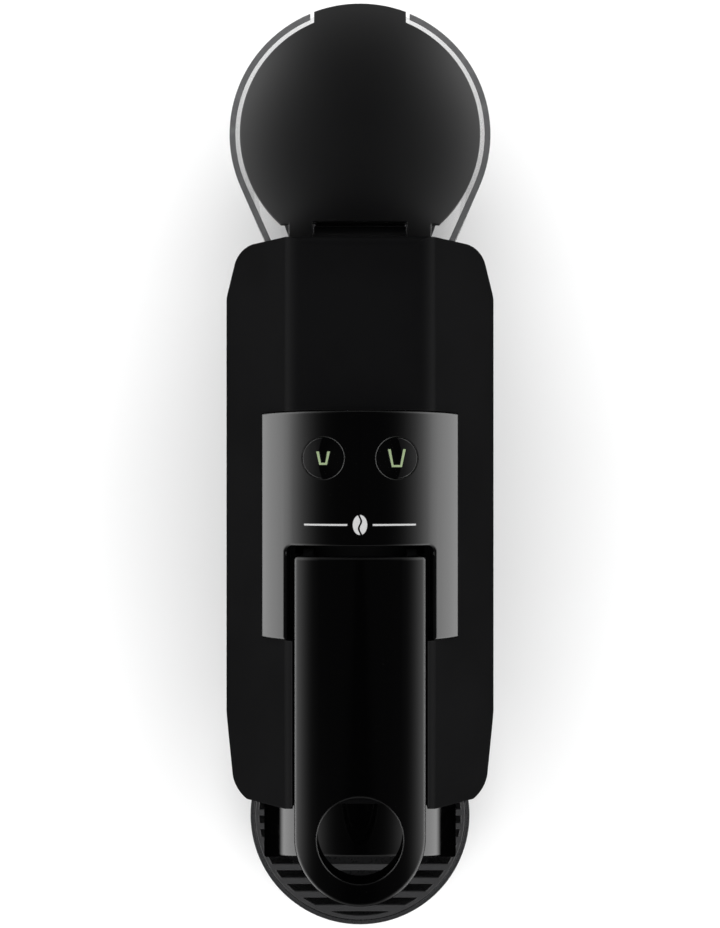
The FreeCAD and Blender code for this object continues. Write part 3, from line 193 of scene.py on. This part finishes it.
def matt_moulding(name, color, roughness, grain_mm=0.55, grain_depth=0.012, edge_light=1.25, level=0.5):
    """Textured plastic: spark-eroded grain, faint flow clouds, edges rubbed a little smoother."""
    finish = Finish(name)
    grain = finish.noise(grain_mm, 2.0, 0.6)
    pits = finish.cells(grain_mm * 1.6)
    clouds = finish.noise(38.0, 3.0, 0.5)
    rubbed = finish.edge_mask(0.7)
    darker = rgb(*(c * 0.86 for c in color))
    lighter = rgb(*(c * 1.1 for c in color))
    worn = rgb(*(min(c * edge_light + 0.004, 1.0) for c in color))
    body = finish.mix(clouds.between(0.35, 0.65), darker, lighter)
    shade = roughness + (grain - 0.5) * 0.10 + (clouds - 0.5) * 0.05 - rubbed * 0.07
    relief = grain * 0.6 + pits * 0.4
    return finish.surface(
        Base_Color=finish.mix(rubbed * 0.7, body, worn),
        Roughness=shade,
        Specular_IOR_Level=level,
        Normal=finish.bump(relief, grain_depth, 0.8),
    )


def gloss_surface(finish, color, roughness, edge_mm, ink=None):
    """Polished plastic with the faintest waviness, wiping marks and dust; ink is where it is printed."""
    waviness = finish.noise(16.0, 1.0, 0.4)
    wiping = finish.noise(9.0, 4.0, 0.65, (0.35, 1.6, 1.0))
    specks = finish.cells(2.6)
    dust = (1 - specks.between(0.02, 0.05)) * finish.noise(7.0, 2.0).between(0.52, 0.7)
    body = finish.mix(dust * 0.3, rgb(*color), grey(DUST_GREY))
    shade = roughness + wiping.between(0.42, 0.75) * GLOSS_HAZE + dust * 0.2
    if ink is not None:
        darkest, lightest = INK_GREYS
        printed = finish.mix(finish.noise(0.5, 3.0, 0.6), grey(darkest), grey(lightest))
        body = finish.mix(ink, body, printed)
        shade = shade + ink * INK_HAZE
    return finish.surface(
        Base_Color=body,
        Roughness=shade,
        Specular_IOR_Level=GLOSS_LEVEL,
        Normal=finish.bump(waviness, 0.008, 0.5, finish.soft_edges(edge_mm)),
    )


def piano_gloss(name, color=GLOSS_BLACK, roughness=0.05, edge_mm=0.5):
    """Polished black plastic."""
    return gloss_surface(Finish(name), color, roughness, edge_mm)


def marked_gloss(name):
    """The gloss finish with a pad-printed emblem: a coffee bean between two fine lines."""
    finish = Finish(name)
    across = finish.place.part(0) / MM
    along = finish.place.part(1) / MM - EMBLEM_Y
    half_width, half_height = EMBLEM_BEAN
    bean = 1 - ((across / half_width) ** 2 + (along / half_height) ** 2).between(0.92, 1.08)
    wave = finish.node("ShaderNodeMath", {"operation": "SINE"}, {0: along * EMBLEM_CREASE_TURN})
    crease = (across - wave * EMBLEM_CREASE_SWING).size()
    line_start, line_end = EMBLEM_LINES
    beside_bean = across.size().between(line_start - 0.1, line_start + 0.1)
    before_end = 1 - across.size().between(line_end - 0.15, line_end + 0.15)
    lines = (1 - along.size().between(0.2, 0.32)) * beside_bean * before_end
    ink = bean * crease.between(0.22, 0.36) + lines
    return gloss_surface(finish, GLOSS_BLACK, 0.05, 0.5, ink)


def satin_moulding(name, color, roughness=0.3, edge_mm=0.4, gloss=0.5):
    """Smoother plastic, as on the lid and the tray, with fine hairline scuffs."""
    finish = Finish(name)
    fine = finish.noise(0.9, 3.0, 0.6)
    clouds = finish.noise(30.0, 2.0)
    scuffs = finish.noise(1.3, 5.0, 0.8, (1.0, 0.05, 1.0)).between(0.6, 0.78)
    rubbed = finish.edge_mask(0.6)
    body = finish.mix(clouds, rgb(*(c * 0.85 for c in color)), rgb(*(c * 1.15 for c in color)))
    lighter = rgb(*(c * 1.5 + 0.004 for c in color))
    return finish.surface(
        Base_Color=finish.mix(rubbed * 0.6, body, lighter),
        Roughness=roughness + (fine - 0.5) * 0.08 + scuffs * 0.06 - rubbed * 0.05,
        Specular_IOR_Level=gloss,
        Normal=finish.bump(fine, 0.004, 0.5, finish.soft_edges(edge_mm)),
    )


def smoked_clear(name, top):
    """Tinted clear plastic with painted shade along the cut edge at its top (a darker tint that hides
    more), with drying marks and a faint haze.
    """
    finish = Finish(name)
    film = finish.noise(14.0, 4.0, 0.6).between(0.55, 0.8)
    spots = 1 - finish.cells(7.0).between(0.03, 0.10)
    slanting = finish.node("ShaderNodeLayerWeight", {}, {"Blend": 0.5}, "Facing")
    upwards = finish.node("ShaderNodeNewGeometry", {}, {}, "Normal").part(2)
    height = finish.place.part(2)
    # painted shade: upward faces near the top of the wall get a darker tint and hide more of what is
    # behind
    painted_rim_shade = upwards.between(0.8, 0.95) * height.between(top - RIM_PAINTED_SHADE_DEPTH, top - RIM_PAINTED_SHADE_DEPTH / 2)
    tint = finish.mix(painted_rim_shade, rgb(*CLEAR_GREY), rgb(*RIM_PAINTED_SHADE_GREY))
    cover = CLEAR_COVER + slanting ** 4 * SLANT_COVER + painted_rim_shade * RIM_PAINTED_SHADE_COVER + film * FILM_COVER
    return finish.surface(
        Base_Color=finish.mix(film * 0.25, tint, grey(0.26)),
        Roughness=0.05 + film * 0.06 + spots * 0.06,
        Alpha=cover,
        Normal=finish.bump(finish.noise(22.0, 1.0), 0.02, 0.5),
    )


def drawn_metal(name, color, roughness, streak=(1.0, 0.06, 1.0)):
    """Metal with drawing or grinding marks along one way and light tarnish."""
    finish = Finish(name)
    lines = finish.noise(0.7, 4.0, 0.7, streak)
    blotches = finish.noise(6.0, 3.0, 0.6).between(0.5, 0.75)
    stain = rgb(*(c * t * 1.6 for c, t in zip(color, TARNISH)))
    return finish.surface(
        Base_Color=finish.mix(blotches * 0.35, rgb(*color), stain),
        Metallic=1.0,
        Roughness=roughness + (lines - 0.5) * 0.18 + blotches * 0.12,
        Normal=finish.bump(lines, 0.006, 0.7),
    )


def cast_metal(name, color):
    """Die-cast aluminium: grainy skin with darker flow marks."""
    finish = Finish(name)
    skin = finish.noise(0.8, 5.0, 0.7)
    flow = finish.noise(12.0, 3.0, 0.6, (1.0, 0.4, 1.0)).between(0.4, 0.7)
    return finish.surface(
        Base_Color=finish.mix(flow * 0.5, rgb(*color), rgb(*(c * 0.7 for c in color))),
        Metallic=0.9,
        Roughness=0.45 + skin * 0.2,
        Normal=finish.bump(skin, 0.05, 0.8),
    )


def soft_rubber(name, color, roughness=0.7):
    """Rubber with a dusty bloom on a fine grain."""
    finish = Finish(name)
    grain = finish.noise(0.5, 3.0, 0.7)
    bloom = finish.noise(5.0, 3.0).between(0.45, 0.8)
    return finish.surface(
        Base_Color=finish.mix(bloom * 0.35, rgb(*color), rgb(*(c * 1.5 + 0.02 for c in color))),
        Roughness=roughness + (grain - 0.5) * 0.15,
        Normal=finish.bump(grain, 0.02, 0.8),
    )


def milky_hose(name):
    """Translucent silicone: milky, a little uneven, softly lit from inside."""
    finish = Finish(name)
    clouds = finish.noise(5.0, 3.0)
    return finish.surface(
        Base_Color=finish.mix(clouds, rgb(0.62, 0.62, 0.57), rgb(0.78, 0.78, 0.74)),
        Roughness=0.32 + clouds * 0.12,
        Subsurface_Weight=0.35,
        Subsurface_Radius=(0.003, 0.003, 0.0028),
        Normal=finish.bump(finish.noise(0.9), 0.01, 0.6),
    )


def circuit_board(name):
    """Green solder mask over copper tracks, with tinned pads."""
    finish = Finish(name)
    bricks = {
        "Vector": finish.place,
        "Scale": 260.0,
        "Mortar Size": 0.035,
        "Brick Width": 0.9,
        "Row Height": 0.33,
    }
    tracks = finish.node("ShaderNodeTexBrick", {}, bricks, "Fac")
    pads = 1 - finish.cells(3.2).between(0.10, 0.14)
    mask = finish.mix(tracks * 0.55, rgb(0.008, 0.075, 0.024), rgb(0.02, 0.16, 0.045))
    return finish.surface(
        Base_Color=finish.mix(pads, mask, rgb(0.55, 0.54, 0.5)),
        Metallic=pads * 0.9,
        Roughness=0.34 - pads * 0.08,
        Normal=finish.bump(tracks + pads, 0.04, 0.5),
    )


def package_mix(name):
    """Dark moulded component bodies with a printed-looking fine grain, some blocks paler than others."""
    finish = Finish(name)
    squares = {"distance": "CHEBYCHEV"}
    blocks = finish.node("ShaderNodeTexVoronoi", squares, {"Vector": finish.place, "Scale": 55.0}, "Color")
    tone = blocks.part(0)
    grain = finish.noise(0.4, 2.0)
    return finish.surface(
        Base_Color=finish.mix(tone.between(0.35, 0.9), grey(0.012), rgb(0.05, 0.05, 0.055)),
        Roughness=0.42 + (grain - 0.5) * 0.2,
        Normal=finish.bump(grain, 0.01, 0.8),
    )


def lit_symbol(name):
    """Light guide in a key: pale yellow-green, glowing evenly."""
    finish = Finish(name)
    uneven = finish.noise(1.4, 2.0)
    glow = finish.mix(uneven, rgb(0.17, 0.23, 0.115), rgb(0.22, 0.27, 0.16))
    return finish.surface(
        Base_Color=glow,
        Roughness=0.35 + uneven * 0.1,
        Emission_Color=glow,
        Emission_Strength=0.12,
    )


finishes = {
    "hood_plastic": matt_moulding("hood_plastic", (0.003, 0.003, 0.0032), 0.4, level=0.02),
    "cover_plastic": matt_moulding("cover_plastic", (0.012, 0.012, 0.0125), 0.5),
    "base_plastic": matt_moulding("base_plastic", (0.012, 0.012, 0.0125), 0.5),
    "foot_rubber": soft_rubber("foot_rubber", (0.02, 0.02, 0.021)),
    "screw_steel": drawn_metal("screw_steel", (0.5, 0.5, 0.51), 0.35),
    "panel_gloss": marked_gloss("panel_gloss"),
    "lever_gloss": piano_gloss("lever_gloss", edge_mm=0.9),
    "key_gloss": piano_gloss("key_gloss", (0.0008, 0.0008, 0.0009), 0.08, edge_mm=0.35),
    "icon_light": lit_symbol("icon_light"),
    "inner_black": matt_moulding("inner_black", (0.003, 0.003, 0.0033), 0.55, level=0.15),
    "inner_grey": matt_moulding("inner_grey", (0.014, 0.0142, 0.015), 0.5, 0.7, 0.02, level=0.2),
    "inner_white": matt_moulding("inner_white", (0.62, 0.61, 0.57), 0.45, 0.7, 0.012, 1.05),
    "axle_steel": drawn_metal("axle_steel", (0.56, 0.56, 0.57), 0.22),
    "blade_steel": drawn_metal("blade_steel", (0.6, 0.6, 0.61), 0.28),
    "spout_plastic": satin_moulding("spout_plastic", (0.009, 0.009, 0.009), 0.32),
    "nose_gloss": piano_gloss("nose_gloss", roughness=0.07),
    "tray_plastic": satin_moulding("tray_plastic", (0.020, 0.020, 0.021), 0.28, 0.5),
    "grid_plastic": satin_moulding("grid_plastic", (0.030, 0.030, 0.031), 0.25, 0.7),
    "container_plastic": satin_moulding("container_plastic", (0.012, 0.012, 0.0125), 0.34),
    "tank_clear": smoked_clear("tank_clear", top_of(nodes["water_tank"])),
    "lid_plastic": satin_moulding("lid_plastic", (0.0016, 0.0016, 0.0018), 0.33, gloss=1.0),
    "valve_plastic": satin_moulding("valve_plastic", (0.06, 0.06, 0.065), 0.35),
    "seal_rubber": soft_rubber("seal_rubber", (0.26, 0.05, 0.035), 0.55),
    "pump_brass": drawn_metal("pump_brass", (0.62, 0.45, 0.2), 0.3, (0.2, 1.0, 1.0)),
    "coil_steel": drawn_metal("coil_steel", (0.34, 0.34, 0.35), 0.42, (1.0, 1.0, 0.06)),
    "heater_cast": cast_metal("heater_cast", (0.58, 0.58, 0.59)),
    "terminal_metal": drawn_metal("terminal_metal", (0.6, 0.6, 0.58), 0.3),
    "hose_silicone": milky_hose("hose_silicone"),
    "board_resin": circuit_board("board_resin"),
    "component_mix": package_mix("component_mix"),
}

for name, part in nodes.items():
    part.data.materials.clear()
    part.data.materials.append(finishes[slot_of[name]])


# ---- floor, light and camera -----------------------------------------------------------
FLOOR_HALF = 6.0
WALL_LIGHT = 4.2             # the side walls at their brightest
END_WALL_SHARE = 0.12        # front and rear walls against the side walls
WALL_LEVELS = [              # height of the direction looked in, and the side wall's light there
    (-1.0, 0.0), (-0.36, 0.0), (-0.22, 4.0), (-0.035, 3.9), (0.105, 3.8), (0.225, 3.47), (0.326, 2.88),
    (0.423, 1.96), (0.515, 1.22), (0.602, 0.71), (0.682, 0.39), (0.755, 0.185), (0.809, 0.095),
    (0.857, 0.052), (0.906, 0.03), (0.94, 0.022), (1.0, 0.02),
]


def add_floor():
    mesh = bpy.data.meshes.new("floor")
    corners = [(x * FLOOR_HALF, y * FLOOR_HALF, 0) for x, y in ((-1, -1), (1, -1), (1, 1), (-1, 1))]
    mesh.from_pydata(corners, [], [(0, 1, 2, 3)])
    floor = bpy.data.objects.new("floor", mesh)
    bpy.context.scene.collection.objects.link(floor)
    finish = Finish("floor_white")
    tone = finish.noise(400.0, 2.0)
    white = finish.mix(tone, grey(0.90), grey(0.92))
    mesh.materials.append(finish.surface(Base_Color=white, Roughness=0.6, Specular_IOR_Level=0.2))
    floor.visible_glossy = False


def add_overhead_box(size, height, power):
    """Large soft light straight above; the black gloss doesn't mirror it."""
    light = bpy.data.lights.new("overhead_box", "AREA")
    light.shape = "RECTANGLE"
    light.size = size
    light.size_y = size
    light.energy = power
    box = bpy.data.objects.new("overhead_box", light)
    bpy.context.scene.collection.objects.link(box)
    box.location = (0.0, 0.0, height)
    box.visible_glossy = False


def set_studio_walls():
    """Light tent with an open, dark top: bright walls at both sides, dimmer ones before and behind."""
    world = bpy.data.worlds.new("studio")
    bpy.context.scene.world = world
    tent = Finish("studio", world)
    upwards = tent.place.part(2)
    sideways = tent.place.part(0).size()
    angle_stops = [(z / 2 + 0.5, grey(level / WALL_LIGHT)) for z, level in WALL_LEVELS]
    level = tent.node("ShaderNodeValToRGB", {"stops": angle_stops}, {0: upwards * 0.5 + 0.5})
    across = (1 - upwards * upwards) ** 0.5
    side = (sideways / (across + 0.001)).between(0.35, 0.85)
    dimming = side * (1 - END_WALL_SHARE) + END_WALL_SHARE
    dimmed = tent.mix(dimming, grey(0.0), level)
    glow = tent.node("ShaderNodeBackground", {}, {"Color": dimmed, "Strength": WALL_LIGHT})
    tent.node("ShaderNodeOutputWorld", {}, {"Surface": glow})


def add_camera():
    """Straight above the machine, its rear at the top of the frame."""
    height = 0.6975
    behind_middle = 0.0141
    focal_over_frame = 1.833
    camera = bpy.data.cameras.new("camera")
    camera.sensor_fit = "VERTICAL"
    camera.sensor_height = 24.0
    camera.lens = camera.sensor_height * focal_over_frame
    eye = bpy.data.objects.new("camera", camera)
    bpy.context.scene.collection.objects.link(eye)
    eye.location = (0.0, behind_middle, height)
    bpy.context.scene.camera = eye


add_floor()
set_studio_walls()
add_overhead_box(size=1.6, height=1.9, power=38.0)
add_camera()
bpy.context.scene.view_settings.view_transform = "Standard"
